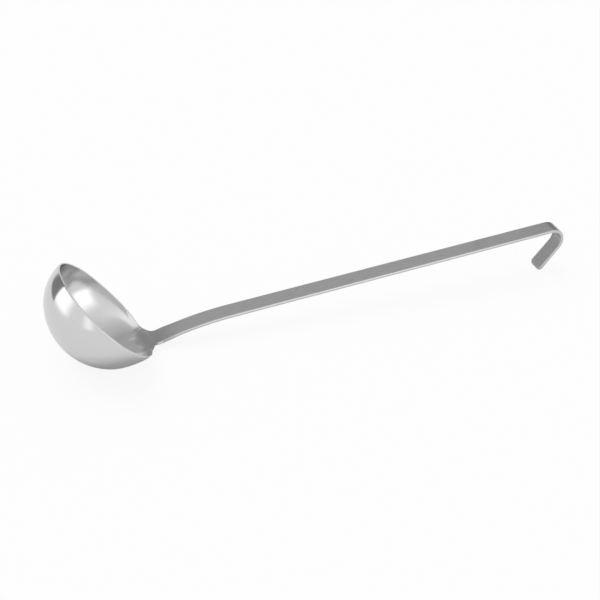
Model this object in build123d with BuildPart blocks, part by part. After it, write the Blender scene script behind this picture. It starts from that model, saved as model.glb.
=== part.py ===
"""Soup ladle: a drawn steel bowl, a flat hooked handle and the seam that joins them.

The ladle lies on a table as it is put down: the underside of the bowl and the end
of the hook touch the table. X runs along the handle from the bowl to the hook, Z is
up, and the origin is on the table under the middle of the ladle. All lengths are in
millimetres and all angles in degrees.

The shapes are drawn on the rim plane of the bowl, whose x axis points at the handle
and whose z axis comes out of the bowl, and on its side plane, seen from the left.
"""

import os
from math import asin, cos, degrees, hypot, radians, sin, tan

from build123d import *

# Bowl: a round-sided shell, upright at the rim, whose side arc runs into its crown arc
# at an angle below the rim plane
rim_radius = 40.0
bowl_depth = 36.4
crown_dip = 46.4
bowl_wall = 1.2
rim_edge_radius = 0.35

# Shoulder, where the bowl runs out into the handle
flare_radius = 4.5
foot_radius = 10.5
foot_angle = 64.0
lip_depth = 2.7
lip_end_depth = 0.25
lip_half_angle = 15.0
lip_overcut = 0.03

# Handle: a flat bar with eased edges
bar_width = 12.2
bar_thickness = 2.6
bar_edge_radius = 0.4
neck_radius = 210.0
handle_angle = 50.5
shaft_length = 260.0

# Hook at the end of the handle
hook_inner_radius = 10.4
hook_bend = 127.6
tongue_length = 22.0
tongue_corner_radius = 3.2

# Seam between the shoulder and the handle
seam_width = 1.8

# How far a cutting solid runs past the form that it trims
overrun = 5.0

# Where the lip is shaped, from one end of it to the other, in shares of its half angle
lip_station_shares = [-1.0, -0.8, -0.6, -0.4, -0.2, 0.0, 0.2, 0.4, 0.6, 0.8, 1.0]

# Steps of the search for the tilt at rest, in degrees
largest_tilt_step = 45.0
smallest_tilt_step = 1e-9

# Largest distance at which a point still counts as lying on a surface
touch_share = 0.001
touch = rim_radius * touch_share


def heading(angle: float) -> Vector:
    """Unit vector on the side plane at an angle above the rim plane."""
    return Vector(cos(radians(angle)), sin(radians(angle)))


# Points of the top line of the handle on the side plane
foot_centre = Vector(rim_radius, foot_radius)
seam_start = foot_centre - foot_radius * heading(foot_angle + 90.0)
seam_end = seam_start + seam_width * heading(foot_angle)
neck_centre = seam_end - neck_radius * heading(foot_angle + 90.0)
shaft_start = neck_centre + neck_radius * heading(handle_angle + 90.0)
shaft_end = shaft_start + shaft_length * heading(handle_angle)
hook_radius = hook_inner_radius + bar_thickness
hook_centre = shaft_end - hook_radius * heading(handle_angle + 90.0)
tongue_angle = handle_angle - hook_bend
tongue_start = hook_centre + hook_radius * heading(tongue_angle + 90.0)
tongue_end = tongue_start + tongue_length * heading(tongue_angle)

# Middle of the rounded edge on which the end of the hook stands
tip_centre = tongue_end - bar_edge_radius * (heading(tongue_angle) + heading(tongue_angle + 90.0))

# Centres of the arcs of the bowl: the side arc in the rim plane, the crown arc on the axis
centre_share = 1 / (1 + tan(radians(crown_dip)) - 1 / cos(radians(crown_dip)))
side_centre = Vector((rim_radius - bowl_depth) * centre_share, 0)
bowl_side_radius = rim_radius - side_centre.X
crown_rise = side_centre.X * tan(radians(crown_dip))
crown_centre = Vector(0, crown_rise)
crown_radius = bowl_depth + crown_rise


def bowl_reach(dip: float) -> float:
    """How far the bowl reaches from the rim centre, at an angle below the rim plane."""
    if dip < crown_dip:
        return side_centre.X * cos(radians(dip)) + bowl_side_radius
    return crown_radius - crown_rise * sin(radians(dip))


def hook_drop(tilt: float) -> float:
    """How far the end of the hook lies below the rim centre, with the rim tilted."""
    return bar_edge_radius + tip_centre.X * sin(radians(tilt)) - tip_centre.Y * cos(radians(tilt))


# Tilt of the rim at which the bowl and the hook both touch the table
rest_tilt = 0.0
tilt_step = largest_tilt_step
while tilt_step > smallest_tilt_step:
    if hook_drop(rest_tilt + tilt_step) < bowl_reach(90.0 - rest_tilt - tilt_step):
        rest_tilt += tilt_step
    tilt_step /= 2
rim_height = bowl_reach(90.0 - rest_tilt)

# Reach along X from the rim centre to both ends, to stand the origin in the middle
hook_reach = hook_centre.X * cos(radians(rest_tilt)) + hook_centre.Y * sin(radians(rest_tilt)) + hook_radius
rim_x = (bowl_reach(rest_tilt) - hook_reach) / 2

rim_normal = Vector(sin(radians(rest_tilt)), 0, cos(radians(rest_tilt)))
rim_heading = Vector(cos(radians(rest_tilt)), 0, -sin(radians(rest_tilt)))
rim_plane = Plane(origin=(rim_x, 0, rim_height), x_dir=rim_heading, z_dir=rim_normal)
rim_axis = Axis(rim_plane.origin, rim_normal)


def section_plane(azimuth: float) -> Plane:
    """Plane through the axis of the rim, turned from the handle by an angle."""
    outward = rim_heading.rotate(rim_axis, azimuth)
    return Plane(origin=rim_plane.origin, x_dir=outward, z_dir=outward.cross(rim_normal))


side_plane = section_plane(0)

inner_radius = rim_radius - bowl_wall
inner_side_radius = bowl_side_radius - bowl_wall
inner_crown_radius = crown_radius - bowl_wall


def world(point: Vector) -> Vector:
    """Point of the side plane in the frame of the whole ladle."""
    return side_plane.from_local_coords(point)


def deck_height(reach: float) -> float:
    """Height of the rim, and of the foot bend beyond it, above the rim plane."""
    past_rim = max(reach - rim_radius, 0.0)
    if past_rim >= foot_radius:
        return foot_radius
    return foot_radius - (foot_radius**2 - past_rim**2) ** 0.5


def is_keel(edge: Edge) -> bool:
    """Whether an edge runs along the underside of the shoulder, at its left or right."""
    point = rim_plane.to_local_coords(edge @ 0.5)
    from_heel = hypot(point.X - foot_centre.X, point.Z - foot_centre.Y) - foot_radius
    on_underside = abs(point.Z + bar_thickness) < touch or abs(from_heel - bar_thickness) < touch
    return on_underside and abs(abs(point.Y) - bar_width / 2) < touch


def is_root(edge: Edge) -> bool:
    """Whether an edge is where the shoulder meets the outer wall of the bowl."""
    for position in (0.0, 0.5, 1.0):
        point = rim_plane.to_local_coords(edge @ position)
        depth = max(-point.Z, 0.0)
        wall_radius = side_centre.X + (bowl_side_radius**2 - depth**2) ** 0.5
        off_wall = abs(hypot(point.X, point.Y) - wall_radius)
        if off_wall > touch or point.X < 0 or abs(point.Y) > bar_width / 2 + touch:
            return False
    return True


def is_outline(edge: Edge) -> bool:
    """Whether an edge follows the outside of the rim, the flare or the foot on top."""
    point = rim_plane.to_local_coords(edge @ 0.5)
    on_deck = abs(point.Z - deck_height(point.X)) < touch
    outside = hypot(point.X, point.Y) > rim_radius - touch
    crosses = point.X > 0 and abs(point.Y) < bar_width / 2 - touch
    return on_deck and outside and not crosses


def is_inner_rim(edge: Edge) -> bool:
    """Whether an edge is the inner edge of the rim."""
    point = rim_plane.to_local_coords(edge @ 0.5)
    return abs(point.Z) < touch and abs(hypot(point.X, point.Y) - inner_radius) < touch


# What lies over the rim and the foot bend, as a solid to cut with
with BuildPart() as headroom:
    with BuildSketch(side_plane):
        with BuildLine():
            deck = Line((-rim_radius - overrun, 0), (rim_radius, 0))
            foot = JernArc(deck @ 1, deck % 1, foot_radius, foot_angle)
            Polyline(
                foot @ 1,
                ((foot @ 1).X, seam_end.Y + overrun),
                (-rim_radius - overrun, seam_end.Y + overrun),
                deck @ 0,
            )
        make_face()
    extrude(amount=rim_radius + overrun, both=True)

# Roll of the lip: what is cut from the inner edge of the rim across the neck
with BuildPart() as lip_roll:
    for share in lip_station_shares:
        depth = lip_end_depth + (lip_depth - lip_end_depth) * cos(radians(90.0 * share)) ** 2
        into_wall = heading(-degrees(asin(depth / inner_side_radius)))
        wall_point = side_centre + into_wall * inner_side_radius
        # The roll touches the wall at this depth and the foot bend above it
        from_foot = wall_point - foot_centre
        roll_radius = (from_foot.dot(from_foot) - foot_radius**2) / (
            2 * (foot_radius - into_wall.dot(from_foot))
        )
        roll_centre = wall_point + into_wall * roll_radius
        to_foot = (foot_centre - roll_centre).normalized()
        cut_radius = roll_radius + lip_overcut
        with BuildSketch(section_plane(share * lip_half_angle)):
            with BuildLine():
                RadiusArc(roll_centre - into_wall * cut_radius, roll_centre + to_foot * cut_radius, cut_radius)
                Polyline(
                    roll_centre + to_foot * cut_radius,
                    (wall_point.X - bowl_wall, overrun),
                    roll_centre - into_wall * cut_radius,
                )
            make_face()
    loft()

# Shoulder: the strip of the drawn sheet that bends up into the handle
with BuildPart() as shoulder:
    # It stands higher than the rim at first, so that the flare can roll along the wall
    wall_top = seam_end.Y + bar_thickness
    with BuildSketch(side_plane):
        with BuildLine():
            underside = Line((inner_radius - bar_thickness, -bar_thickness), (rim_radius, -bar_thickness))
            heel = JernArc(underside @ 1, underside % 1, foot_radius + bar_thickness, foot_angle)
            Polyline(
                heel @ 1,
                seam_start,
                (seam_start.X, wall_top),
                ((underside @ 0).X, wall_top),
                underside @ 0,
            )
        make_face()
    extrude(amount=bar_width / 2, both=True)
    fillet(shoulder.edges().filter_by(is_keel), radius=bar_edge_radius)

# Bowl: the drawn shell, with the shoulder that carries the handle
with BuildPart() as bowl:
    with BuildSketch(side_plane):
        with BuildLine():
            side = CenterArc(-side_centre, bowl_side_radius, 180, crown_dip)
            crown = CenterArc(crown_centre, crown_radius, 180 + crown_dip, 90 - crown_dip)
            Polyline(side @ 0, (-rim_radius, wall_top), (0, wall_top), crown @ 1)
        make_face()
    revolve(axis=rim_axis)
    add(shoulder.part)
    fillet(bowl.edges().filter_by(is_root), radius=flare_radius)
    with BuildSketch(side_plane):
        with BuildLine():
            inner_side = CenterArc(-side_centre, inner_side_radius, 180, crown_dip)
            inner_crown = CenterArc(crown_centre, inner_crown_radius, 180 + crown_dip, 90 - crown_dip)
            Polyline(inner_side @ 0, (-inner_radius, wall_top), (0, wall_top), inner_crown @ 1)
        make_face()
    revolve(axis=rim_axis, mode=Mode.SUBTRACT)
    add(headroom.part, mode=Mode.SUBTRACT)
    fillet(bowl.edges().filter_by(is_outline), radius=bar_edge_radius)
    fillet(bowl.edges().filter_by(is_inner_rim), radius=rim_edge_radius)
    add(lip_roll.part, mode=Mode.SUBTRACT)

# Seam: the butt weld between shoulder and handle, ground flush with both
with BuildPart() as seam:
    with BuildSketch(side_plane):
        with BuildLine():
            Line(seam_start, seam_end)
            offset(amount=bar_thickness, side=Side.RIGHT)
        make_face()
    extrude(amount=bar_width / 2, both=True)
    along_seam = Axis(world(seam_start), world(seam_end) - world(seam_start))
    fillet(seam.edges().filter_by(along_seam), radius=bar_edge_radius)

# Handle: the bar, bent at the neck and into a hook
with BuildPart() as handle:
    with BuildSketch(side_plane):
        with BuildLine():
            neck = JernArc(seam_end, heading(foot_angle), neck_radius, handle_angle - foot_angle)
            shaft = Line(neck @ 1, shaft_end)
            hook = JernArc(shaft @ 1, shaft % 1, hook_radius, -hook_bend)
            Line(hook @ 1, tongue_end)
            offset(amount=bar_thickness, side=Side.RIGHT)
        make_face()
    extrude(amount=bar_width / 2, both=True)
    tip_middle = tongue_end - bar_thickness / 2 * heading(tongue_angle + 90.0)
    tip_face = handle.faces().sort_by_distance(world(tip_middle))[0]
    through_tip = Axis(world(tongue_end), world(tip_middle) - world(tongue_end))
    fillet(tip_face.edges().filter_by(through_tip), radius=tongue_corner_radius)
    # The four edges of the shaft are the longest, and the rounding runs on from them
    fillet(handle.edges().sort_by(SortBy.LENGTH)[-4:], radius=bar_edge_radius)

bowl.part.label = "bowl"
seam.part.label = "weld_seam"
handle.part.label = "handle"

os.makedirs("parts", exist_ok=True)
export_step(bowl.part, "parts/bowl.step")
export_step(seam.part, "parts/weld_seam.step")
export_step(handle.part, "parts/handle.step")

for piece in (bowl, seam, handle):
    box = piece.part.bounding_box()
    print(piece.part.label, piece.part.is_valid, round(piece.part.volume, 1), box.min, box.max)
print("tilt of the rim at rest", rest_tilt)
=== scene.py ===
"""Soup ladle: a polished bowl, a satin bar handle with a hook, and the ground seam between them.

Lengths are in metres and angles in degrees. The ladle lies on the floor on the underside
of its bowl and the end of its hook. X runs from the bowl to the hook and Z is up.

Most shapes are worked out on the rim plane of the bowl first, as the part is: x towards
the handle, y to the left and z out of the bowl, with the origin at the middle of the rim.
"""

import logging
from collections.abc import Callable
from dataclasses import dataclass
from enum import Enum
from math import asin, atan2, cos, degrees, hypot, pi, radians, sin, sqrt, tan

import bmesh
import bpy
import numpy as np
from bpy.types import Material, NodeSocket, Object
from mathutils import Matrix, Vector

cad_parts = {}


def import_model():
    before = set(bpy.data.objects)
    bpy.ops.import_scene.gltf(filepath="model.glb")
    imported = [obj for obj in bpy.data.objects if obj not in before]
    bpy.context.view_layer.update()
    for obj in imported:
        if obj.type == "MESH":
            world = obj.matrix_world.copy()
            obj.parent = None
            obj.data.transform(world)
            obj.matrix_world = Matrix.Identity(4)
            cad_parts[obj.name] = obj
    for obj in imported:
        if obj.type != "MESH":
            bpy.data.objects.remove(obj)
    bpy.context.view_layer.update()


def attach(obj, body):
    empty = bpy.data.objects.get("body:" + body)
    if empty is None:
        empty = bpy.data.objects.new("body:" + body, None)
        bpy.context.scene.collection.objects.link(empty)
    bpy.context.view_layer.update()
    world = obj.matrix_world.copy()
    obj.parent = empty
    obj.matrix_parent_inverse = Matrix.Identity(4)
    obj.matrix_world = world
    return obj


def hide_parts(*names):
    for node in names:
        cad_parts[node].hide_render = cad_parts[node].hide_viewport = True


PHOTO_SIDE = 600
WELD_DISTANCE = 2e-6
SHARP_ANGLE = 35.0
ANGLE_TOLERANCE = 1e-9
# Length of the handles of a cubic curve that stands for a quarter circle of radius 1
ROUND_HANDLE = 0.5523
LEFT = np.array([0.0, 1.0, 0.0])
MIRROR = np.array([1.0, -1.0, 1.0])
# Turns places along, across and below the top face of the bar into points of its flat blank
BLANK_AXES = np.array([1.0, 1.0, -1.0])
SQUARE = ((-1.0, -1.0), (1.0, -1.0), (1.0, 1.0), (-1.0, 1.0))
WHITE = (1.0, 1.0, 1.0, 1.0)
# Ray depths above this are reflections of reflections
FIRST_REFLECTION = 1.5
# How far past the seam the bar is darker, partly a duller ground finish and partly painted shade
DARKENED_LENGTH = 0.016

Inputs = dict[str | int, object]
# Centre of a ball that shapes the flare, and its direction to the shoulder
Ball = tuple[np.ndarray, np.ndarray]

log = logging.getLogger("ladle")


class Node(Enum):
    """Solids of the frame that the pieces stand for."""

    BOWL = "bowl"
    SEAM = "weld_seam"
    HANDLE = "handle"


class Slot(Enum):
    """Material slots."""

    BOWL = "bowl_steel"
    SEAM = "weld_steel"
    HANDLE = "handle_steel"


def sine(angle: float) -> float:
    """Sine of an angle in degrees."""
    return sin(radians(angle))


def cosine(angle: float) -> float:
    """Cosine of an angle in degrees."""
    return cos(radians(angle))


def unit(angle: float) -> np.ndarray:
    """Unit vector of a plane at an angle from its first axis."""
    return np.array([cosine(angle), sine(angle)])


def spread(low: float, high: float, steps: int, ease: float = 0.0) -> np.ndarray:
    """Values from low to high in a number of steps, closer at both ends with more ease."""
    shares = np.linspace(0.0, 1.0, steps + 1)
    eased = (1 - np.cos(pi * shares)) / 2
    return low + (high - low) * ((1 - ease) * shares + ease * eased)


def smooth_step(share: np.ndarray) -> np.ndarray:
    """Goes from 0 to 1 without a jump of curvature while a share does, and stays there outside."""
    held = np.clip(share, 0.0, 1.0)
    return held**3 * (10.0 - 15.0 * held + 6.0 * held**2)


def smooth_rise(share: np.ndarray) -> np.ndarray:
    """Leaves 0 at a slope and comes level at 1 without a jump of curvature."""
    held = np.clip(share, 0.0, 1.0)
    return held * (15.0 - 10.0 * held**2 + 3.0 * held**4) / 8.0


def last_angle(high: float, holds: Callable[[float], bool]) -> float:
    """Finds the last angle at which a test holds.

    Args:
        high: An angle at which it no longer holds.
        holds: The test, which holds at 0 and changes once.

    Returns:
        The last angle at which it holds.
    """
    low = 0.0
    while high - low > ANGLE_TOLERANCE:
        middle = (low + high) / 2
        if holds(middle):
            low = middle
        else:
            high = middle
    return low


def put(name: str, data: bpy.types.ID) -> Object:
    """Adds an object with its data to the scene, at the origin."""
    added = bpy.data.objects.new(name, data)
    bpy.context.scene.collection.objects.link(added)
    return added


@dataclass
class LadleSizes:
    """Driving sizes of the ladle, the same as those of the solids.

    The bowl's wall has a side arc, whose centres lie on a ring in the rim plane, and below
    it a crown arc, whose centre is above the middle of the rim.
    """

    rim_radius: float = 0.040
    bowl_depth: float = 0.0364
    crown_dip: float = 46.4
    bowl_wall: float = 0.0012
    rim_edge_radius: float = 0.00035
    flare_radius: float = 0.0045
    foot_radius: float = 0.0105
    foot_angle: float = 64.0
    bar_width: float = 0.0122
    bar_thickness: float = 0.0026
    bar_edge_radius: float = 0.0004
    seam_width: float = 0.0018
    neck_radius: float = 0.210
    handle_angle: float = 50.5
    shaft_length: float = 0.260
    hook_inner_radius: float = 0.0104
    hook_bend: float = 127.6
    tongue_length: float = 0.022
    tongue_corner_radius: float = 0.0032

    def __post_init__(self) -> None:
        """Works out the arcs of the bowl, the outside of the hook and half the bar's width."""
        dip = radians(self.crown_dip)
        self.side_ring = (self.rim_radius - self.bowl_depth) / (1 + tan(dip) - 1 / cos(dip))
        self.side_radius = self.rim_radius - self.side_ring
        self.crown_rise = self.side_ring * tan(dip)
        self.crown_radius = self.bowl_depth + self.crown_rise
        self.hook_radius = self.hook_inner_radius + self.bar_thickness
        self.half_width = self.bar_width / 2


@dataclass(frozen=True)
class Bend:
    """A stretch of the bar's top line: its length and how much it turns."""

    length: float
    turn: float


class BarPath:
    """Top line of the bar on the side plane, from the rim to the end of the hook."""

    def __init__(self, sizes: LadleSizes) -> None:
        """Lays the bends end to end, starting at the rim in the rim plane.

        Args:
            sizes: Driving sizes of the ladle.
        """
        neck_turn = sizes.handle_angle - sizes.foot_angle
        self.bends = (
            Bend(sizes.foot_radius * radians(sizes.foot_angle), sizes.foot_angle),
            Bend(sizes.seam_width, 0.0),
            Bend(sizes.neck_radius * radians(-neck_turn), neck_turn),
            Bend(sizes.shaft_length, 0.0),
            Bend(sizes.hook_radius * radians(sizes.hook_bend), -sizes.hook_bend),
            Bend(sizes.tongue_length, 0.0),
        )
        self.start = np.array([sizes.rim_radius, 0.0])
        ends = np.cumsum([bend.length for bend in self.bends]).tolist()
        self.foot_end, self.seam_end, self.neck_end, self.shaft_end, self.hook_end, self.end = ends

    def trace(self, along: float) -> tuple[np.ndarray, float]:
        """Follows the top line.

        Args:
            along: Distance from the rim along the top line.

        Returns:
            The point on the side plane, and the direction of the line there.
        """
        point, direction = self.start, 0.0
        for bend in self.bends:
            step = min(along, bend.length)
            turn = bend.turn * step / bend.length
            if turn:
                radius = step / radians(turn)
                point = point + radius * (unit(direction + turn - 90.0) - unit(direction - 90.0))
            else:
                point = point + step * unit(direction)
            direction += turn
            along -= step
        return point, direction


class RestingPlace:
    """How the rim plane lies when the ladle rests on the floor."""

    def __init__(self, sizes: LadleSizes, path: BarPath) -> None:
        """Finds the tilt at which the bowl and the end of the hook both touch the floor.

        Args:
            sizes: Driving sizes of the ladle.
            path: Top line of the bar.
        """
        self.sizes = sizes
        end, direction = path.trace(path.end)
        radius = sizes.bar_edge_radius
        tip = end - radius * (unit(direction) + unit(direction + 90.0))

        def tip_higher(tilt: float) -> bool:
            """Whether the end of the hook is still off the floor at a tilt."""
            drop = radius + tip[0] * sine(tilt) - tip[1] * cosine(tilt)
            return drop < self.bowl_reach(90.0 - tilt)

        self.tilt = last_angle(90.0, tip_higher)
        hook_start, heading = path.trace(path.shaft_end)
        hook_centre = hook_start - sizes.hook_radius * unit(heading + 90.0)
        hook_reach = hook_centre @ unit(self.tilt) + sizes.hook_radius
        bowl_middle = (self.bowl_reach(self.tilt) - hook_reach) / 2
        self.rim_middle = Vector((bowl_middle, 0.0, self.bowl_reach(90.0 - self.tilt)))
        turned = Matrix.Rotation(radians(self.tilt), 4, "Y")
        self.matrix = Matrix.Translation(self.rim_middle) @ turned

    def bowl_reach(self, dip: float) -> float:
        """How far the bowl reaches from the rim centre at an angle below the rim plane."""
        if dip < self.sizes.crown_dip:
            return self.sizes.side_ring * cosine(dip) + self.sizes.side_radius
        return self.sizes.crown_radius - self.sizes.crown_rise * sine(dip)


class SheetMesh:
    """Grids of points that share their edges, welded into one closed mesh."""

    def __init__(self) -> None:
        """Starts with no points."""
        self.points: list[np.ndarray] = []
        self.faces: list[list[int]] = []
        self.marks: list[np.ndarray] = []

    def grid(self, rows: np.ndarray, marks: np.ndarray) -> None:
        """Adds a grid of four-sided faces.

        Args:
            rows: Points, as an array of rows by columns by three.
            marks: Two values for each point, kept as the UV map.
        """
        count, width = rows.shape[:2]
        first = len(self.points)
        self.points.extend(rows.reshape(-1, 3))
        self.marks.extend(marks.reshape(-1, 2))
        corner = first + width * np.arange(count - 1)[:, None] + np.arange(width - 1)
        quads = np.stack((corner, corner + 1, corner + width + 1, corner + width), axis=-1)
        self.faces.extend(quads.reshape(-1, 4).tolist())

    def lid(self, rim: np.ndarray, marks: np.ndarray) -> None:
        """Adds one flat face.

        Args:
            rim: Its corners in order.
            marks: Two values for each corner, kept as the UV map.
        """
        first = len(self.points)
        self.points.extend(rim)
        self.marks.extend(marks)
        self.faces.append(list(range(first, first + len(rim))))

    def build(self, name: str, layer: str, place: Matrix) -> Object:
        """Welds the grids and makes the object.

        Args:
            name: Name of the piece.
            layer: Name of the UV map that keeps the marks.
            place: Turns the axes of the points into those of the object.

        Returns:
            The finished object, at the origin.
        """
        mesh = bpy.data.meshes.new(name)
        mesh.from_pydata([tuple(point) for point in self.points], [], self.faces)
        mesh.transform(place)
        work = bmesh.new()
        work.from_mesh(mesh)
        kept = work.loops.layers.uv.new(layer)
        for face in work.faces:
            for loop in face.loops:
                loop[kept].uv = self.marks[loop.vert.index]
        bmesh.ops.remove_doubles(work, verts=work.verts, dist=WELD_DISTANCE)
        bmesh.ops.dissolve_degenerate(work, dist=WELD_DISTANCE, edges=work.edges)
        bmesh.ops.recalc_face_normals(work, faces=work.faces)
        for face in work.faces:
            face.smooth = True
        closed = [edge for edge in work.edges if len(edge.link_faces) == 2]
        for edge in closed:
            edge.smooth = edge.calc_face_angle() < radians(SHARP_ANGLE)
        open_edges = len(work.edges) - len(closed)
        work.to_mesh(mesh)
        work.free()
        log.info("%s: %d faces, %d open edges", name, len(mesh.polygons), open_edges)
        return put(name, mesh)


class Wiring:
    """Adds nodes to a tree and links them."""

    def __init__(self, tree: bpy.types.NodeTree) -> None:
        """Starts with an empty tree."""
        self.tree = tree
        tree.nodes.clear()

    def add(self, kind: str, inputs: Inputs | None = None, **settings: object) -> bpy.types.Node:
        """Adds a node.

        Args:
            kind: Type of the node.
            inputs: Values or outputs for its inputs, by name or number.
            settings: Its own settings.

        Returns:
            The new node.
        """
        node = self.tree.nodes.new(kind)
        for name, value in settings.items():
            setattr(node, name, value)
        for name, value in (inputs or {}).items():
            if isinstance(value, NodeSocket):
                self.tree.links.new(value, node.inputs[name])
            else:
                node.inputs[name].default_value = value
        return node

    def out(self, kind: str, inputs: Inputs | None = None, **settings: object) -> NodeSocket:
        """First output of a new node."""
        return self.add(kind, inputs, **settings).outputs[0]

    def math(self, operation: str, *values: object) -> NodeSocket:
        """Result of a Math node on numbers or outputs."""
        return self.out("ShaderNodeMath", dict(enumerate(values)), operation=operation)

    def vector(self, operation: str, *values: object) -> NodeSocket:
        """Result of a Vector Math node on vectors or outputs."""
        return self.out("ShaderNodeVectorMath", dict(enumerate(values)), operation=operation)

    def scale(self, value: NodeSocket, *ends: float) -> NodeSocket:
        """Goes smoothly between the last two ends while a value goes between the first two."""
        inputs = dict(enumerate((value, *ends)))
        return self.out("ShaderNodeMapRange", inputs, interpolation_type="SMOOTHSTEP")

    def noise(self, place: NodeSocket, scale: float, detail: float) -> NodeSocket:
        """Value of a noise texture at a place."""
        return self.out("ShaderNodeTexNoise", {"Vector": place, "Scale": scale, "Detail": detail})

    def bump(self, height: NodeSocket, strength: float, depth: float) -> NodeSocket:
        """Normals of a bump of a depth in metres."""
        return self.out("ShaderNodeBump", {"Strength": strength, "Distance": depth, "Height": height})

    def steel(self, inputs: Inputs) -> None:
        """Ends the tree in a metal shader with some inputs."""
        shader = self.out("ShaderNodeBsdfPrincipled", {"Metallic": 1.0, **inputs})
        self.add("ShaderNodeOutputMaterial", {0: shader})

    def blend(self, share: object, first: NodeSocket, glow: object) -> None:
        """Ends the tree in a mix of a shader and, by a share, white light of a strength."""
        light = self.out("ShaderNodeEmission", {0: WHITE, 1: glow})
        mix = self.out("ShaderNodeMixShader", {0: share, 1: first, 2: light})
        self.add("ShaderNodeOutputMaterial", {0: mix})


def new_material(name: str) -> tuple[Material, Wiring]:
    """Makes a material, and the wiring of its empty tree."""
    made = bpy.data.materials.new(name)
    made.use_nodes = True
    return made, Wiring(made.node_tree)


class BarBender:
    """Bends flat blanks along the top line of the bar, with a node tree."""

    def __init__(self, path: BarPath, place: Matrix, step: float = 0.0002) -> None:
        """Lays the rail and makes the tree.

        Args:
            path: Top line of the bar.
            place: Turns the axes of the rim plane into those of the ladle.
            step: Distance between the points of the rail.
        """
        curve = bpy.data.curves.new("rail", "CURVE")
        curve.dimensions = "3D"
        line = curve.splines.new("POLY")
        stations = spread(0.0, path.end, round(path.end / step)).tolist()
        line.points.add(len(stations) - 1)
        for knot, along in zip(line.points, stations):
            point, _ = path.trace(along)
            knot.co = (*(place @ Vector((point[0], 0.0, point[1]))), 1.0)
        self.rail = put("rail", curve)
        self.tree = bpy.data.node_groups.new("bend_along_rail", "GeometryNodeTree")
        self.tree.is_modifier = True
        self.sockets: dict[str, str] = {}
        kinds = {"Blank": "Geometry", "Rail": "Object", "Finish": "Material", "Bar": "Geometry"}
        for name, kind in kinds.items():
            way = "OUTPUT" if name == "Bar" else "INPUT"
            socket = self.tree.interface.new_socket(name, in_out=way, socket_type=f"NodeSocket{kind}")
            self.sockets[name] = socket.identifier
        self.wire()

    def wire(self) -> None:
        """Moves each point from its place on the blank to the same place beside the rail."""
        wiring = Wiring(self.tree)
        given = wiring.add("NodeGroupInput").outputs
        rail = wiring.add("GeometryNodeObjectInfo", {"Object": given["Rail"]}).outputs["Geometry"]
        spot = wiring.out("GeometryNodeInputPosition")
        along, across, rise = wiring.add("ShaderNodeSeparateXYZ", {0: spot}).outputs
        place = {"Curves": rail, "Length": along}
        on_rail = wiring.add("GeometryNodeSampleCurve", place, mode="LENGTH").outputs
        up = wiring.vector("NORMALIZE", wiring.vector("CROSS_PRODUCT", on_rail["Tangent"], tuple(LEFT)))
        lift = wiring.vector("MULTIPLY", up, rise)
        side = wiring.out("ShaderNodeCombineXYZ", {1: across})
        target = wiring.vector("ADD", on_rail["Position"], wiring.vector("ADD", lift, side))
        moved = {"Geometry": given["Blank"], "Position": target}
        bent = wiring.out("GeometryNodeSetPosition", moved)
        real = wiring.out("GeometryNodeRealizeInstances", {0: bent})
        dressed = {"Geometry": real, "Material": given["Finish"]}
        wiring.add("NodeGroupOutput", {0: wiring.out("GeometryNodeSetMaterial", dressed)})

    def bend(self, blank: Object, finish: Material) -> Object:
        """Bends a blank and keeps the result as a plain mesh.

        Args:
            blank: The flat blank.
            finish: Material of the piece.

        Returns:
            The same object, bent.
        """
        modifier = blank.modifiers.new("bend", "NODES")
        modifier.node_group = self.tree
        modifier[self.sockets["Rail"]] = self.rail
        modifier[self.sockets["Finish"]] = finish
        bpy.context.view_layer.update()
        graph = bpy.context.evaluated_depsgraph_get()
        mesh = bpy.data.meshes.new_from_object(
            blank.evaluated_get(graph), preserve_all_data_layers=True, depsgraph=graph
        )
        flat = blank.data
        blank.modifiers.remove(modifier)
        blank.data = mesh
        bpy.data.meshes.remove(flat)
        mesh.name = blank.name
        return blank


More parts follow.
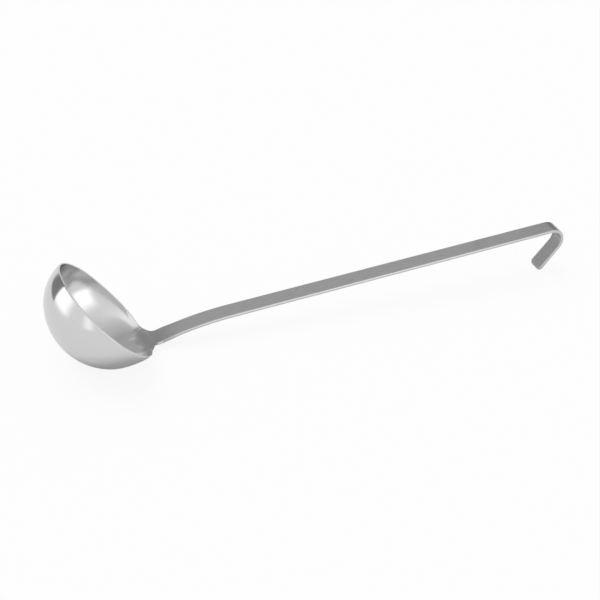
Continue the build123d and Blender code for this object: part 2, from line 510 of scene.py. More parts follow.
@dataclass
class BarPiece:
    """A length of the flat bar with eased edges, made flat and bent along the path."""

    sizes: LadleSizes
    path: BarPath
    name: str = "bar"
    tip: bool = False
    round_radius: float = 0.0010
    round_fade: float = 0.012
    edge_steps: int = 6
    corner_steps: int = 10
    side_shares: tuple[float, ...] = (0.06, 0.35, 0.65, 0.94)
    inner_shares: tuple[float, ...] = (0.96, 0.8, 0.5, 0.2, 0.0, -0.2, -0.5, -0.8, -0.96)

    def stations(self) -> list[float]:
        """Places of the sections along the bar."""
        raise NotImplementedError

    def outline(self) -> list[tuple[float, float, float, float]]:
        """Follows the left edge of the bar, and the corner at its tip.

        Returns:
            Place along, place across, and the way out of the edge, along and across.
        """
        half = self.sizes.half_width
        rows = [(along, half, 0.0, 1.0) for along in self.stations()]
        if self.tip:
            radius = self.sizes.tongue_corner_radius
            middle = np.array([self.path.end - radius, half - radius])
            for turn in spread(90.0, 0.0, self.corner_steps)[1:]:
                rows.append((*(middle + radius * unit(turn)), *unit(turn)))
        return rows

    def section(self, along: float, across: float, *out: float) -> np.ndarray:
        """Places round the edge of the bar, from the top face to the underside.

        Args:
            along: Place of the outermost point along the bar.
            across: Place of the outermost point across the bar.
            out: The way out of the edge, along and across.

        Returns:
            Places along, across and below the top face.
        """
        least, thickness = self.sizes.bar_edge_radius, self.sizes.bar_thickness
        rounded = smooth_step((along - self.path.seam_end) / self.round_fade)
        radius = least + (self.round_radius - least) * rounded
        turns = spread(0.0, 90.0, self.edge_steps)
        top = [(radius * (1 - sine(turn)), radius * (1 - cosine(turn))) for turn in turns]
        side = [(0.0, radius + (thickness - 2 * radius) * share) for share in self.side_shares]
        foot = [(inset, thickness - drop) for inset, drop in reversed(top)]
        return np.array([
            (along - inset * out[0], across - inset * out[1], depth)
            for inset, depth in top + side + foot
        ])

    def ring(self, row: np.ndarray) -> list[np.ndarray]:
        """Whole way round the bar from the places round its left edge, and over the underside."""
        foot = [row[-1] * (1.0, share, 1.0) for share in self.inner_shares]
        top = [row[0] * (1.0, -share, 1.0) for share in self.inner_shares]
        return [*row, *foot, *(row[::-1] * MIRROR), *top]

    def build(self, bender: BarBender, finish: Material) -> Object:
        """Makes the flat blank and bends it.

        Args:
            bender: Bends the blank.
            finish: Material of the piece.

        Returns:
            The finished object.
        """
        blank = SheetMesh()
        left = [self.section(*spot) for spot in self.outline()]
        rings = np.array([self.ring(row) for row in left])
        self.add(blank, np.concatenate((rings, rings[:, :1]), axis=1))
        for ring in rings[:1] if self.tip else rings[[0, -1]]:
            blank.lid(ring * BLANK_AXES, ring[:, :2])
        if self.tip:
            shares = (1.0, *self.inner_shares, -1.0)
            end = [[spot * (1.0, share, 1.0) for share in shares] for spot in left[-1]]
            self.add(blank, np.array(end))
        return bender.bend(blank.build(self.name, "along", Matrix()), finish)

    def add(self, blank: SheetMesh, places: np.ndarray) -> None:
        """Adds rows of places on the bar to its blank, marked with their place along and across."""
        marks = np.stack((places[..., 0], places[..., 1] + places[..., 2]), axis=-1)
        blank.grid(places * BLANK_AXES, marks)


@dataclass
class Handle(BarPiece):
    """The bar from the seam to the end of the hook."""

    name: str = "handle_bar"
    tip: bool = True
    neck_steps: int = 44
    shaft_steps: int = 60
    hook_steps: int = 56
    tongue_steps: int = 12

    def stations(self) -> list[float]:
        """Places of the sections along the bar, up to the corners of the tongue."""
        path = self.path
        corner = path.end - self.sizes.tongue_corner_radius
        joints = (path.seam_end, path.neck_end, path.shaft_end, path.hook_end, corner)
        counts = (self.neck_steps, self.shaft_steps, self.hook_steps, self.tongue_steps)
        places = [path.seam_end]
        for start, end, steps in zip(joints, joints[1:], counts):
            places.extend(spread(start, end, steps)[1:])
        return places


@dataclass
class Seam(BarPiece):
    """The slice of weld between the shoulder and the handle."""

    name: str = "ground_seam"
    steps: int = 4

    def stations(self) -> list[float]:
        """Places of the sections along the bar."""
        return spread(self.path.foot_end, self.path.seam_end, self.steps).tolist()


@dataclass
class BowlSheet:
    """The drawn bowl with its shoulder, as grids that follow the forms of the solid.

    All points are in the axes of the rim plane. The web draws the rim out beside the neck,
    and the flank widens the sheet below it. The ground patch is where the lip was ground; its
    darkening is partly that duller finish and partly painted shade, set off to the right of the handle.
    Up to the cross line the rows of the top face run out of the bowl, and from there on
    they run across the shoulder.
    """

    sizes: LadleSizes
    rim_steps: int = 96
    fan_layers: int = 9
    fan_angle: float = 26.0
    belt_dip: float = 24.0
    belt_ease: float = 0.4
    flare_steps: int = 12
    side_steps: int = 2
    cross_steps: int = 8
    strip_steps: int = 14
    edge_steps: int = 4
    roll_steps: int = 12
    deck_steps: int = 10
    deck_ease: float = 0.7
    deck_limit: float = 0.99
    drop_steps: int = 6
    corner_steps: int = 8
    inner_steps: int = 44
    lower_steps: int = 30
    search_steps: int = 12
    cross_reach: float = 0.0044
    lip_drop: float = 0.0062
    lip_width: float = 0.0050
    lip_share: float = 0.86
    lip_half_angle: float = 42.0
    # Patch where the lip was ground; the same patch darkens the colour as painted shade, set right of the
    # handle
    ground_and_shade_depth: float = 0.0088
    ground_and_shade_fade: float = 0.0072
    ground_and_shade_middle: float = -20.0
    ground_and_shade_angle: float = 22.0
    ground_and_shade_angle_fade: float = 15.0
    web_push: float = 0.0042
    web_middle_share: float = 0.33
    web_neck_angle: float = 11.0
    web_angle: float = 72.0
    web_turn: float = 6.4
    web_turn_end: float = 50.0
    web_drop: float = 0.0009
    web_depth: float = 0.018
    web_start: float = 0.0392
    flank_push: float = 0.0027
    flank_start: float = 0.0390
    flank_top_share: float = 0.20

    def __post_init__(self) -> None:
        """Works out the sizes that several grids share."""
        sizes = self.sizes
        self.ball_across = sizes.half_width + sizes.flare_radius
        self.ring_reach = sizes.side_radius + sizes.flare_radius
        self.keel_depth = sizes.bar_thickness - sizes.bar_edge_radius
        self.keel_across = sizes.half_width - sizes.bar_edge_radius
        self.across_all = spread(self.keel_across, 0.0, self.cross_steps)
        self.far_azimuths = spread(180.0, self.fan_angle, self.rim_steps)
        self.foot_centre = np.array([sizes.rim_radius, sizes.foot_radius])
        self.cross_bend = degrees(asin(self.cross_reach / sizes.foot_radius))
        self.first_dip = degrees(asin(sizes.bar_edge_radius / sizes.side_radius))
        self.shoulder_end = sizes.rim_radius + sizes.foot_radius * sine(sizes.foot_angle)

    def wall(self, azimuth: float, dip: float, inset: float = 0.0) -> np.ndarray:
        """Point of the bowl's wall.

        Args:
            azimuth: Angle from the handle, to the left.
            dip: Angle below the rim plane, seen from the arc's own centre.
            inset: Distance inwards from the outer face.

        Returns:
            The point.
        """
        sizes = self.sizes
        centre, radius = (sizes.side_ring, 0.0), sizes.side_radius - inset
        if dip > sizes.crown_dip:
            centre, radius = (0.0, sizes.crown_rise), sizes.crown_radius - inset
        reach, height = centre + radius * unit(-dip)
        return np.array([*(reach * unit(azimuth)), height])

    def deck(self, x: np.ndarray) -> np.ndarray:
        """Height of the top face over the rim plane, up to a limit just before the bend is upright."""
        radius = self.sizes.foot_radius
        past = np.clip(x - self.sizes.rim_radius, 0.0, self.deck_limit * radius)
        return radius - np.sqrt(radius**2 - past**2)

    def bent(self, bend: float, across: float, depth: float) -> np.ndarray:
        """Point of the shoulder, at an angle round the foot bend and a depth below its top."""
        x, z = self.foot_centre + (self.sizes.foot_radius + depth) * unit(bend - 90.0)
        return np.array([x, across, z])

    def bend_of(self, point: np.ndarray) -> float:
        """Angle round the foot bend of a point of the shoulder."""
        return degrees(atan2(point[0] - self.foot_centre[0], self.foot_centre[1] - point[2]))

    def side_ball(self, z: float) -> Ball:
        """Ball of the flare beside the shoulder at a height."""
        reach = self.sizes.side_ring + sqrt(self.ring_reach**2 - min(z, 0.0) ** 2)
        return np.array([sqrt(reach**2 - self.ball_across**2), self.ball_across, z]), -LEFT

    def under_ball(self, turn: float, across: float) -> Ball:
        """Ball of the flare where it rolls round the keel or under the shoulder.

        Args:
            turn: How far it has rolled round the keel, 0 beside it and 90 under it.
            across: Place across the shoulder of the keel line that it rolls on.

        Returns:
            The ball.
        """
        sizes = self.sizes
        reach = sizes.flare_radius + sizes.bar_edge_radius

        def ball(bend: float) -> Ball:
            """Ball that rests on the keel line at an angle round the foot bend."""
            out = cosine(turn) * LEFT + sine(turn) * np.array([sine(bend), 0.0, -cosine(bend)])
            return self.bent(bend, across, self.keel_depth) + reach * out, -out

        def in_wall(bend: float) -> bool:
            """Whether that ball still cuts into the wall of the bowl."""
            x, y, z = ball(bend)[0]
            return hypot(hypot(x, y) - sizes.side_ring, min(z, 0.0)) < self.ring_reach

        return ball(last_angle(sizes.foot_angle, in_wall))

    def canal(self, ball: Ball, share: float) -> np.ndarray:
        """Point of the flare.

        Args:
            ball: The ball that shapes it.
            share: Place on the arc, 0 at the shoulder and 1 at the bowl's wall.

        Returns:
            The point.
        """
        centre, to_bar = ball
        ring = centre * (self.sizes.side_ring / hypot(centre[0], centre[1]))
        ring[2] = max(centre[2], 0.0)
        to_wall = (ring - centre) / np.linalg.norm(ring - centre)
        between = np.arccos(np.clip(to_bar @ to_wall, -1.0, 1.0))
        blend = (sin((1 - share) * between) * to_bar + sin(share * between) * to_wall) / sin(between)
        return centre + self.sizes.flare_radius * blend

    def side_top(self, share: float) -> float:
        """Height of the flare's ball where the flare starts, below its eased top edge."""
        radius = self.sizes.bar_edge_radius
        z = -radius
        for _ in range(self.search_steps):
            point = self.canal(self.side_ball(z), share)
            past = max(point[0] - self.sizes.rim_radius, 0.0)
            wanted = self.sizes.foot_radius - sqrt((self.sizes.foot_radius + radius) ** 2 - past**2)
            z += wanted - point[2]
        return z

    def flare_rows(self) -> np.ndarray:
        """Lays the left half of the flare, from its top edge down and under to the middle.

        Returns:
            Points, as an array of rows by columns by three, each row from bar to wall.
        """
        shares = spread(0.0, 1.0, self.flare_steps)
        low = self.under_ball(0.0, self.keel_across)[0][2]
        tops = [self.side_top(share) for share in shares]
        rows = []
        for drop in spread(0.0, 1.0, self.drop_steps):
            balls = [self.side_ball(top + (low - top) * drop) for top in tops]
            rows.append([self.canal(ball, share) for ball, share in zip(balls, shares)])
        rolls = [(turn, self.keel_across) for turn in spread(0.0, 90.0, self.corner_steps)[1:]]
        rolls += [(90.0, across) for across in self.across_all[1:]]
        for roll in rolls:
            ball = self.under_ball(*roll)
            rows.append([self.canal(ball, share) for share in shares])
        return np.array(rows)

    def edge_rows(self, low: np.ndarray, out: np.ndarray, bend: float) -> np.ndarray:
        """Points round the eased top edge, from the side up to the top face.

        Args:
            low: Where the easing meets the side.
            out: Level direction out of the edge.
            bend: Angle round the foot bend, 0 on the rim.

        Returns:
            The points in order.
        """
        up = np.array([-sine(bend), 0.0, cosine(bend)])
        up -= (up @ out) * out
        up /= np.linalg.norm(up)
        ways = [cosine(turn) * out + sine(turn) * up for turn in spread(0.0, 90.0, self.edge_steps)]
        return low + self.sizes.bar_edge_radius * (np.array(ways) - out)

    def roll_rows(self, azimuth: float, top: np.ndarray) -> tuple[np.ndarray, float]:
        """Points over the inner edge of the rim, from the wall to the top face.

        Args:
            azimuth: Angle from the handle.
            top: Where the top face ends outwards.

        Returns:
            The points in order, and the dip of the wall where they start.
        """
        sizes = self.sizes
        fade = cosine(90.0 * min(abs(azimuth) / self.lip_half_angle, 1.0)) ** 2
        least = sizes.rim_edge_radius
        depth = least + (self.lip_drop - least) * fade
        width = least + (self.lip_width - least) * fade
        inner_radius = sizes.side_radius - sizes.bowl_wall
        inner_reach = sizes.side_ring + inner_radius
        dip = degrees(asin(depth / inner_radius))
        first = (sizes.side_ring, 0.0) + inner_radius * unit(-dip)
        reach = inner_reach + min(width, self.lip_share * (hypot(top[0], top[1]) - inner_reach))
        out = unit(azimuth)
        last = np.array([reach, self.deck(reach * out[0])])
        past = max(reach * out[0] - sizes.rim_radius, 0.0)
        slope = np.array([1.0, out[0] * past / sqrt(sizes.foot_radius**2 - past**2)])
        up_wall = unit(90.0 - dip)
        step, _ = np.linalg.solve(np.column_stack((up_wall, slope)), last - first)
        corner = first + step * up_wall
        near_wall = first + ROUND_HANDLE * (corner - first)
        near_top = last + ROUND_HANDLE * (corner - last)
        share = spread(0.0, 1.0, self.roll_steps)[:, None]
        left = 1 - share
        roll = left**3 * first + share**3 * last
        roll += 3 * left * share * (left * near_wall + share * near_top)
        return np.column_stack((roll[:, :1] * out, roll[:, 1])), dip

    def top_edges(self, flare: np.ndarray) -> np.ndarray:
        """Lays the left half of the eased top edge, from the far rim to the cross line.

        Args:
            flare: Top row of the flare, from the bar to the wall.

        Returns:
            Grid with rows from the side up to the top face.
        """
        sizes = self.sizes
        start = degrees(atan2(flare[-1][1], flare[-1][0]))
        near = spread(self.fan_angle, start, self.fan_layers)[1:]
        edges = []
        for azimuth in (*self.far_azimuths, *near):
            out = np.array([*unit(azimuth), 0.0])
            edges.append(self.edge_rows(self.wall(azimuth, self.first_dip), out, 0.0))
        centre = self.side_ball(0.0)[0]
        for low in flare[-2::-1]:
            out = (centre - low) * (1.0, 1.0, 0.0)
            edges.append(self.edge_rows(low, out / np.linalg.norm(out), max(self.bend_of(low), 0.0)))
        for bend in spread(self.bend_of(flare[0]), self.cross_bend, self.side_steps)[1:]:
            low = self.bent(bend, sizes.half_width, sizes.bar_edge_radius)
            edges.append(self.edge_rows(low, LEFT, bend))
        return np.array(edges)

    def shoulder_grids(self, flare: np.ndarray) -> tuple[np.ndarray, np.ndarray]:
        """Lays the left half of the shoulder beyond the flare.

        Args:
            flare: Left half of the flare.

        Returns:
            Grid of its top edge and top face, with rows that run across, and grid of its
            side, keel and underside, with rows that run outwards.
        """
        sizes = self.sizes
        radius, end = sizes.bar_edge_radius, sizes.foot_angle
        strip = spread(self.cross_bend, end, self.strip_steps)
        upper = []
        for bend in strip:
            edge = self.edge_rows(self.bent(bend, sizes.half_width, radius), LEFT, bend)
            upper.append([*edge, *[self.bent(bend, across, 0.0) for across in self.across_all[1:]]])
        start = self.bend_of(flare[0][0])
        bends = np.concatenate((spread(start, self.cross_bend, self.side_steps), strip[1:]))
        shares = (bends - start) / (end - start)
        lines = [(sizes.half_width, depth) for depth in spread(radius, self.keel_depth, self.drop_steps)]
        for turn in spread(0.0, 90.0, self.corner_steps)[1:]:
            lines.append((self.keel_across, self.keel_depth) + radius * unit(turn))
        lines += [(across, sizes.bar_thickness) for across in self.across_all[1:]]
        lower = []
        for row, (across, depth) in zip(flare, lines):
            contact = self.bend_of(row[0])
            contact_depth = hypot(*(row[0][[0, 2]] - self.foot_centre)) - sizes.foot_radius
            turns = contact + (end - contact) * shares
            depths = contact_depth + (depth - contact_depth) * shares
            lower.append([self.bent(turn, across, deep) for turn, deep in zip(turns, depths)])
        return np.array(upper), np.array(lower)

    def wall_grids(self, flare: np.ndarray) -> list[np.ndarray]:
        """Lays the left half of the bowl's outer wall.

        Args:
            flare: Left half of the flare.

        Returns:
            Grids of the wall round the flare, beside it and below the belt.
        """
        down = self.drop_steps + self.corner_steps // 2
        dips = spread(self.first_dip, self.belt_dip, down, self.belt_ease)
        turns = spread(self.fan_angle, 0.0, len(flare) - 1 - down)[1:]
        outer = [(self.fan_angle, dip) for dip in dips] + [(turn, self.belt_dip) for turn in turns]
        steps = spread(0.0, 1.0, self.fan_layers)
        fan = []
        for row, end in zip(flare, outer):
            x, y, z = row[-1]
            start = np.array([degrees(atan2(y, x)), degrees(asin(-z / self.sizes.side_radius))])
            fan.append([self.wall(*(start + (end - start) * step)) for step in steps])
        beside = [[self.wall(azimuth, dip) for dip in dips] for azimuth in self.far_azimuths]
        lower = spread(self.belt_dip, 90.0, self.lower_steps)
        below = [[self.wall(azimuth, dip) for dip in lower] for azimuth in (*self.far_azimuths, *turns)]
        return [np.array(grid) for grid in (fan, beside, below)]

    def inside(self, tops: np.ndarray) -> np.ndarray:
        """Lays the left half of the inner wall, the lip and the top face.

        Args:
            tops: Outer ends of the top face.

        Returns:
            Grid with rows from the bottom of the bowl out to the ends of the top face.
        """
        rows = []
        for top in tops:
            azimuth = degrees(atan2(top[1], top[0]))
            roll, dip = self.roll_rows(azimuth, top)
            dips = spread(90.0, dip, self.inner_steps)[:-1]
            lining = [self.wall(azimuth, step, self.sizes.bowl_wall) for step in dips]
            shares = spread(0.0, 1.0, self.deck_steps, self.deck_ease)[1:-1, None]
            deck = roll[-1] + (top - roll[-1]) * shares
            deck[:, 2] = self.deck(deck[:, 0])
            rows.append([*lining, *roll, *deck, top])
        return np.array(rows)

    def build(self, place: Matrix, finish: Material) -> Object:
        """Makes the bowl.

        Args:
            place: Turns the axes of the rim plane into those of the ladle.
            finish: Material of the bowl.

        Returns:
            The finished object.
        """
        flare = self.flare_rows()
        edges = self.top_edges(flare[0])
        upper, lower = self.shoulder_grids(flare)
        tops = np.concatenate((edges[:, -1], upper[0, -self.cross_steps:]))
        above = (self.inside(tops), upper)
        below = (edges, flare, lower, *self.wall_grids(flare))
        mesh = SheetMesh()
        for grids, on_top in ((above, True), (below, False)):
            for grid in grids:
                drawn = self.drawn_out(grid)
                mesh.grid(drawn, self.finish_marks(grid, on_top))
                mesh.grid(drawn * MIRROR, self.finish_marks(grid * MIRROR, on_top))
        half = np.array([*upper[-1][::-1], *lower[1:, -1]])
        lid = np.concatenate((half, half[-2:0:-1] * MIRROR))
        # The end face of the shoulder is marked fully ground, so it takes the full darkening, partly
        # painted shade
        mesh.lid(lid, np.array([(0.0, 1.0)] * len(lid)))
        piece = mesh.build("drawn_bowl", "finish", place)
        piece.data.materials.append(finish)
        return piece

    def finish_marks(self, spots: np.ndarray, on_top: bool) -> np.ndarray:
        """Marks points for the finish.

        Args:
            spots: The points.
            on_top: Whether they are on the upper side of the sheet, where it was ground.

        Returns:
            How far inside the bowl they are and how much they were ground and darkened with painted shade,
            both from 0 to 1.
        """
        sizes = self.sizes
        x, y, z = np.moveaxis(spots, -1, 0)
        reach = np.hypot(x, y)
        side_inset = sizes.side_radius - np.hypot(reach - sizes.side_ring, z)
        in_crown = -z > (reach - sizes.side_ring) * tan(radians(sizes.crown_dip))
        crown_inset = sizes.crown_radius - np.hypot(reach, z - sizes.crown_rise)
        inside = np.clip(np.where(in_crown, crown_inset, side_inset) / sizes.bowl_wall, 0.0, 1.0)
        below_top = self.deck(x) - z
        # Under the top face the mark also covers the eased edges, darkening them with painted shade
        cover = 1.0 if on_top else smooth_step(1.0 - below_top / (2.0 * sizes.bar_edge_radius))
        shallow = smooth_step((z + self.ground_and_shade_depth) / self.ground_and_shade_fade)
        # Centred right of the handle: there the darkening is painted shade as much as ground finish
        aside = np.abs(np.degrees(np.arctan2(y, x)) - self.ground_and_shade_middle)
        beside = smooth_step((aside - self.ground_and_shade_angle) / self.ground_and_shade_angle_fade)
        return np.stack((inside, cover * shallow * (1.0 - beside)), axis=-1)

    def drawn_out(self, spots: np.ndarray) -> np.ndarray:
        """Draws the rim out towards the handle, so that it runs into the neck in a broad web.

        Args:
            spots: Points left of the middle.

        Returns:
            The moved points. The end of the shoulder and the lower bowl stay where they are.
        """
        x, y, z = np.moveaxis(spots, -1, 0)
        reach = np.hypot(x, y)
        turn = np.degrees(np.arctan2(y, x))
        to_end = self.shoulder_end - reach
        before_end = smooth_step(to_end / (self.shoulder_end - self.web_start))
        hold = smooth_step(1.0 + z / self.web_depth) * before_end
        beside_neck = smooth_step(turn / self.web_neck_angle)
        near_neck = smooth_step((self.web_turn_end - turn) / self.web_turn_end)
        push = self.web_push * smooth_step((self.web_angle - turn) / self.web_angle)
        push *= self.web_middle_share + (1.0 - self.web_middle_share) * beside_neck
        widen = self.web_turn * smooth_rise(turn / self.web_neck_angle) * near_neck
        drop = self.web_drop * beside_neck * near_neck
        new_turn = np.radians(turn + widen * hold)
        new_reach = reach + push * hold
        shoulder = np.clip(to_end / (self.shoulder_end - self.flank_start), 0.0, 1.0)
        bulge = smooth_step(2.0 * np.minimum(shoulder, 1.0 - shoulder))
        sunk = smooth_step((self.deck(x) - z) / self.sizes.bar_thickness)
        below = self.flank_top_share + (1.0 - self.flank_top_share) * sunk
        flank = self.flank_push * bulge * below * beside_neck * near_neck
        new_y = new_reach * np.sin(new_turn) + flank
        return np.stack((new_reach * np.cos(new_turn), new_y, z - drop * hold * before_end), axis=-1)


@dataclass(frozen=True)
class PolishedSteel:
    """Finish of the bowl: polished outside, satin inside, and ground, with painted shade, where it joins
    the handle.

    Faint rings run round the bowl. Near its pole they would crowd, so they stop at pole_reach.
    """

    tilt: float
    rim_middle: Vector
    colour: tuple[float, float, float] = (0.70, 0.70, 0.705)
    outside_roughness: float = 0.13
    inside_roughness: float = 0.18
    ground_roughness: float = 0.34
    # Colour share where the lip was ground: partly its duller finish, partly painted shade
    ground_and_painted_shade: float = 0.64
    ring_size: float = 0.03
    ring_scale: float = 90.0
    ring_depth: float = 0.00004
    ring_strength: float = 0.12
    pole_reach: float = 0.0004
    cloud_scale: float = 55.0
    cloud_share: float = 0.08
    detail: float = 3.0

    def material(self) -> Material:
        """Makes the material."""
        made, wiring = new_material("polished_steel")
        spot = wiring.add("ShaderNodeTexCoord").outputs["Object"]
        turned = {"Vector": spot, "Location": self.rim_middle, "Rotation": (0.0, radians(self.tilt), 0.0)}
        on_rim = wiring.out("ShaderNodeMapping", turned, vector_type="TEXTURE")
        x, y, z = wiring.add("ShaderNodeSeparateXYZ", {0: on_rim}).outputs
        squares = wiring.math("ADD", wiring.math("MULTIPLY", x, x), wiring.math("MULTIPLY", y, y))
        reach = wiring.math("MAXIMUM", wiring.math("POWER", squares, 0.5), self.pole_reach)
        ring = {
            axis: wiring.math("MULTIPLY", wiring.math("DIVIDE", side, reach), self.ring_size)
            for axis, side in enumerate((x, y))
        }
        ring[2] = wiring.math("ARCTAN2", z, reach)
        lines = wiring.noise(wiring.out("ShaderNodeCombineXYZ", ring), self.ring_scale, self.detail)
        cloud = wiring.math("SUBTRACT", wiring.noise(spot, self.cloud_scale, self.detail), 0.5)
        marks = wiring.out("ShaderNodeUVMap", uv_map="finish")
        inside, ground, _ = wiring.add("ShaderNodeSeparateXYZ", {0: marks}).outputs
        duller = wiring.math("MULTIPLY", inside, self.inside_roughness - self.outside_roughness)
        polish = wiring.math("ADD", self.outside_roughness, duller)
        uneven = wiring.math("ADD", polish, wiring.math("MULTIPLY", cloud, self.cloud_share))
        rough = wiring.out("ShaderNodeMix", {0: ground, 2: uneven, 3: self.ground_roughness})
        # The ground mark darkens the colour: partly the ground finish, partly painted shade
        shade = wiring.math("SUBTRACT", 1.0, wiring.math("MULTIPLY", ground, 1.0 - self.ground_and_painted_shade))
        wiring.steel({
            "Base Color": wiring.vector("MULTIPLY", self.colour, shade),
            "Roughness": rough,
            "Normal": wiring.bump(lines, self.ring_strength, self.ring_depth),
        })
        return made


@dataclass(frozen=True)
class BrushedSteel:
    """Finish of the bar: satin, with fine marks along it, and darker near the weld, partly ground and
    partly painted shade.
    """

    name: str
    darkened_stretch: tuple[float, float]
    colour: tuple[float, float, float] = (0.62, 0.62, 0.625)
    weld_ground_and_painted_shade: float = 0.80
    roughness: tuple[float, float] = (0.23, 0.37)
    shades: tuple[float, float] = (0.95, 1.03)
    streak_scale: tuple[float, float, float] = (60.0, 3200.0, 1.0)
    streak_detail: float = 4.0
    streak_share: float = 0.7
    patch_scale: tuple[float, float, float] = (160.0, 420.0, 1.0)
    patch_detail: float = 3.0
    mark_range: tuple[float, float] = (0.3, 0.7)
    mark_depth: float = 0.00005
    mark_strength: float = 0.12
    grain: float = 0.5
    grain_turn: float = 0.25

    def material(self) -> Material:
        """Makes the material."""
        made, wiring = new_material(self.name)
        spot = wiring.out("ShaderNodeUVMap", uv_map="along")
        streaks, patches = (
            wiring.noise(wiring.out("ShaderNodeMapping", {"Vector": spot, "Scale": scale}), 1.0, detail)
            for scale, detail in (
                (self.streak_scale, self.streak_detail),
                (self.patch_scale, self.patch_detail),
            )
        )
        fine = wiring.math("MULTIPLY", streaks, self.streak_share)
        marks = wiring.math("ADD", fine, wiring.math("MULTIPLY", patches, 1.0 - self.streak_share))
        along = wiring.out("ShaderNodeSeparateXYZ", {0: spot})
        # Darker over the seam and the start of the handle: partly a duller ground finish, partly painted
        # shade
        weld_darkening = wiring.scale(along, *self.darkened_stretch, self.weld_ground_and_painted_shade, 1.0)
        shade = wiring.math("MULTIPLY", wiring.scale(marks, *self.mark_range, *self.shades), weld_darkening)
        wiring.steel({
            "Base Color": wiring.vector("MULTIPLY", self.colour, shade),
            "Roughness": wiring.scale(marks, *self.mark_range, *self.roughness),
            "Normal": wiring.bump(streaks, self.mark_strength, self.mark_depth),
            "Anisotropic": self.grain,
            "Anisotropic Rotation": self.grain_turn,
            "Tangent": wiring.out("ShaderNodeTangent", direction_type="UV_MAP", uv_map="along"),
        })
        return made


def lay_board(name: str, corners: list[Vector], finish: Material) -> Object:
    """Adds a flat board to the studio.

    Args:
        name: Name of the board.
        corners: Its four corners in order.
        finish: Its material.

    Returns:
        The board, whose UV map goes from 0 at its first corner to 1 at its third.
    """
    mesh = bpy.data.meshes.new(name)
    mesh.from_pydata([tuple(corner) for corner in corners], [], [(0, 1, 2, 3)])
    for loop, (x, y) in zip(mesh.uv_layers.new(name="card").data, SQUARE):
        loop.uv = ((x + 1) / 2, (y + 1) / 2)
    mesh.materials.append(finish)
    return put(name, mesh)


@dataclass(frozen=True)
class Card:
    """A lit or grey board, seen only in reflections, placed by what one spot of the ladle sees."""

    name: str
    seen_from: tuple[float, float, float]
    azimuths: tuple[float, float]
    elevations: tuple[float, float]
    distance: float
    level: float
    feathers: tuple[float, float, float, float]
    later_level: float | None = None

    def build(self) -> None:
        """Makes the board, square to the line of sight."""
        heading, rise = sum(self.azimuths) / 2, sum(self.elevations) / 2
        ahead = Vector((*(cosine(rise) * unit(heading)), sine(rise)))
        left = Vector((-sine(heading), cosine(heading), 0.0))
        middle = Vector(self.seen_from) + self.distance * ahead
        wide = self.distance * tan(radians(self.azimuths[1] - heading)) * left
        high = self.distance * tan(radians(self.elevations[1] - rise)) * ahead.cross(left)
        board = lay_board(self.name, [middle + x * wide + y * high for x, y in SQUARE], self.material())
        board.visible_camera = False
        board.visible_diffuse = False
        board.visible_shadow = False

    def material(self) -> Material:
        """Makes its even light, which fades out towards the edges.

        A board may have a later level, which is what a reflection of a reflection shows.

        Returns:
            The material.
        """
        made, wiring = new_material(self.name)
        spot = wiring.out("ShaderNodeUVMap", uv_map="card")
        sides = wiring.add("ShaderNodeSeparateXYZ", {0: spot}).outputs
        cover: NodeSocket | float = 1.0
        for side, feather in enumerate(self.feathers):
            share = sides[side // 2]
            if side % 2:
                share = wiring.math("SUBTRACT", 1.0, share)
            cover = wiring.math("MULTIPLY", cover, wiring.scale(share, 0.0, feather, 0.0, 1.0))
        level: NodeSocket | float = self.level
        if self.later_level is not None:
            bounces = wiring.add("ShaderNodeLightPath").outputs["Ray Depth"]
            later = wiring.math("GREATER_THAN", bounces, FIRST_REFLECTION)
            change = wiring.math("MULTIPLY", later, self.later_level - self.level)
            level = wiring.math("ADD", level, change)
        wiring.blend(cover, wiring.out("ShaderNodeBsdfTransparent"), level)
        return made


BOWL_SPOT = (-0.175, -0.01, 0.045)
OUTSIDE_SPOT = (-0.195, -0.01, 0.055)
BAR_SPOT = (0.05, 0.0, 0.028)
HOOK_SPOT = (0.19, 0.0, 0.035)
MAT_SPOT = (0.165, 0.05, 0.05)


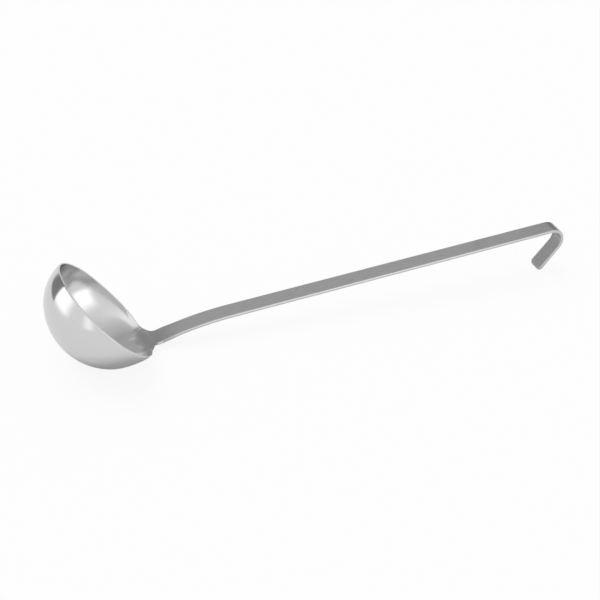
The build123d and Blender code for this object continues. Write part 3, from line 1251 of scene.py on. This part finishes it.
@dataclass
class Studio:
    """Floor, lamp, boards, world and camera."""

    camera_place: tuple[float, float, float] = (-0.35963, -0.56029, 0.52518)
    camera_target: tuple[float, float, float] = (-0.02414, -0.00724, 0.020)
    camera_roll: float = 9.352
    focal_pixels: float = 1191.78
    sensor: float = 36.0
    nearest: float = 0.01
    floor_reach: float = 12.0
    floor_colour: tuple[float, float, float] = (0.82, 0.82, 0.82)
    floor_glow_seen: float = 0.90
    floor_glow_reflected: float = 0.0
    world_level: float = 0.68
    world_reflected: float = 0.89
    sun_from: tuple[float, float, float] = (-0.30, 0.32, 0.90)
    sun_spread: float = 40.0
    sun_strength: float = 1.35
    cards: tuple[Card, ...] = (
        Card("left_softbox", OUTSIDE_SPOT, (141, 192), (-12, 34), 0.25, 1.46, (0.03, 0.45, 0.30, 0.10)),
        Card("low_softbox", OUTSIDE_SPOT, (210, 240), (-8, 30), 0.40, 1.20, (0.45, 0.45, 0.10, 0.45)),
        Card("front_softbox", BOWL_SPOT, (-84, -30), (-8, 44), 0.75, 1.55, (0.30, 0.30, 0.15, 0.45), 0.50),
        Card("left_ceiling", BOWL_SPOT, (176, 252), (36, 84), 0.60, 1.10, (0.35, 0.35, 0.25, 0.35)),
        Card("back_flag", OUTSIDE_SPOT, (100, 146), (-12, 50), 0.28, 0.25, (0.30, 0.05, 0.03, 0.30), 0.90),
        Card("side_flag", BAR_SPOT, (26, 132), (12, 74), 0.90, 0.48, (0.10, 0.06, 0.12, 0.12), 0.90),
        Card("end_flag", HOOK_SPOT, (4, 58), (-4, 46), 0.60, 0.22, (0.20, 0.30, 0.02, 0.30)),
        Card("hook_flag", HOOK_SPOT, (104, 180), (-30, 34), 0.055, 0.40, (0.20, 0.20, 0.02, 0.20)),
        Card("floor_flag", MAT_SPOT, (-42, 42), (-130, -50), 0.049, 0.40, (0.20, 0.30, 0.30, 0.20)),
        Card("ceiling", BOWL_SPOT, (-45, 45), (45, 135), 0.90, 0.38, (1.00, 0.15, 0.15, 0.45)),
    )

    def add_camera(self) -> None:
        """Places the camera where the photograph was taken from."""
        camera = bpy.data.cameras.new("camera")
        camera.sensor_width = self.sensor
        camera.sensor_fit = "HORIZONTAL"
        camera.lens = self.focal_pixels * self.sensor / PHOTO_SIDE
        camera.clip_start = self.nearest
        place = Vector(self.camera_place)
        ahead = (Vector(self.camera_target) - place).normalized()
        level = ahead.cross(Vector((0.0, 0.0, 1.0))).normalized()
        right = cosine(self.camera_roll) * level + sine(self.camera_roll) * level.cross(ahead)
        axes = Matrix((right, right.cross(ahead), -ahead)).transposed()
        seat = put("camera", camera)
        seat.matrix_world = Matrix.Translation(place) @ axes.to_4x4()
        bpy.context.scene.camera = seat

    def seen(self, wiring: Wiring, direct: float, reflected: float) -> NodeSocket:
        """Gives a value to what the camera sees, and one to what reflections and glass show.

        Args:
            wiring: Tree that needs it.
            direct: Value for rays of the camera.
            reflected: Value for glossy and transmission rays.

        Returns:
            The value, which is 0 for all other rays.
        """
        path = wiring.add("ShaderNodeLightPath").outputs
        indirect = wiring.math("MAXIMUM", path["Is Glossy Ray"], path["Is Transmission Ray"])
        shown = wiring.math("MULTIPLY", path["Is Camera Ray"], direct)
        return wiring.math("MAXIMUM", shown, wiring.math("MULTIPLY", indirect, reflected))

    def add_floor(self) -> None:
        """Lays the pale floor, which keeps a light shadow."""
        made, wiring = new_material("pale_floor")
        matt = wiring.out("ShaderNodeBsdfDiffuse", {0: (*self.floor_colour, 1.0)})
        wiring.blend(self.seen(wiring, self.floor_glow_seen, self.floor_glow_reflected), matt, 1.0)
        floor = lay_board("floor", [self.floor_reach * Vector((x, y, 0.0)) for x, y in SQUARE], made)

    def add_light(self) -> None:
        """Sets the world, the lamp above and the boards."""
        world = bpy.data.worlds.new("studio")
        world.use_nodes = True
        bpy.context.scene.world = world
        wiring = Wiring(world.node_tree)
        gap = self.seen(wiring, 1.0 - self.world_level, self.world_reflected - self.world_level)
        sky = {0: WHITE, 1: wiring.math("ADD", self.world_level, gap)}
        wiring.add("ShaderNodeOutputWorld", {0: wiring.out("ShaderNodeBackground", sky)})
        lamp = bpy.data.lights.new("soft_sun", "SUN")
        lamp.angle = radians(self.sun_spread)
        lamp.energy = self.sun_strength
        seat = put("soft_sun", lamp)
        seat.rotation_euler = (-Vector(self.sun_from)).to_track_quat("-Z", "Y").to_euler()
        seat.visible_glossy = False
        for card in self.cards:
            card.build()


def main() -> None:
    """Builds the ladle and its studio."""
    logging.basicConfig(level=logging.INFO, format="%(name)s: %(message)s")
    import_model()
    sizes = LadleSizes()
    path = BarPath(sizes)
    rest = RestingPlace(sizes, path)
    bender = BarBender(path, rest.matrix)
    polished = PolishedSteel(rest.tilt, rest.rim_middle).material()
    darkened_stretch = (path.foot_end, path.seam_end + DARKENED_LENGTH)
    ground_weld = BrushedSteel("ground_weld", darkened_stretch).material()
    satin = BrushedSteel("satin_steel", darkened_stretch).material()
    pieces = (
        (BowlSheet(sizes).build(rest.matrix, polished), Node.BOWL, Slot.BOWL),
        (Seam(sizes, path).build(bender, ground_weld), Node.SEAM, Slot.SEAM),
        (Handle(sizes, path).build(bender, satin), Node.HANDLE, Slot.HANDLE),
    )
    bpy.data.objects.remove(bender.rail)
    for piece, node, slot in pieces:
        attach(piece, "root")
        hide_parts(node.value)
        log.info("%s stands for %s in %s", piece.name, node.value, slot.value)
    studio = Studio()
    studio.add_floor()
    studio.add_light()
    studio.add_camera()
    bpy.context.scene.view_settings.view_transform = "Standard"


if __name__ == "__main__":
    main()
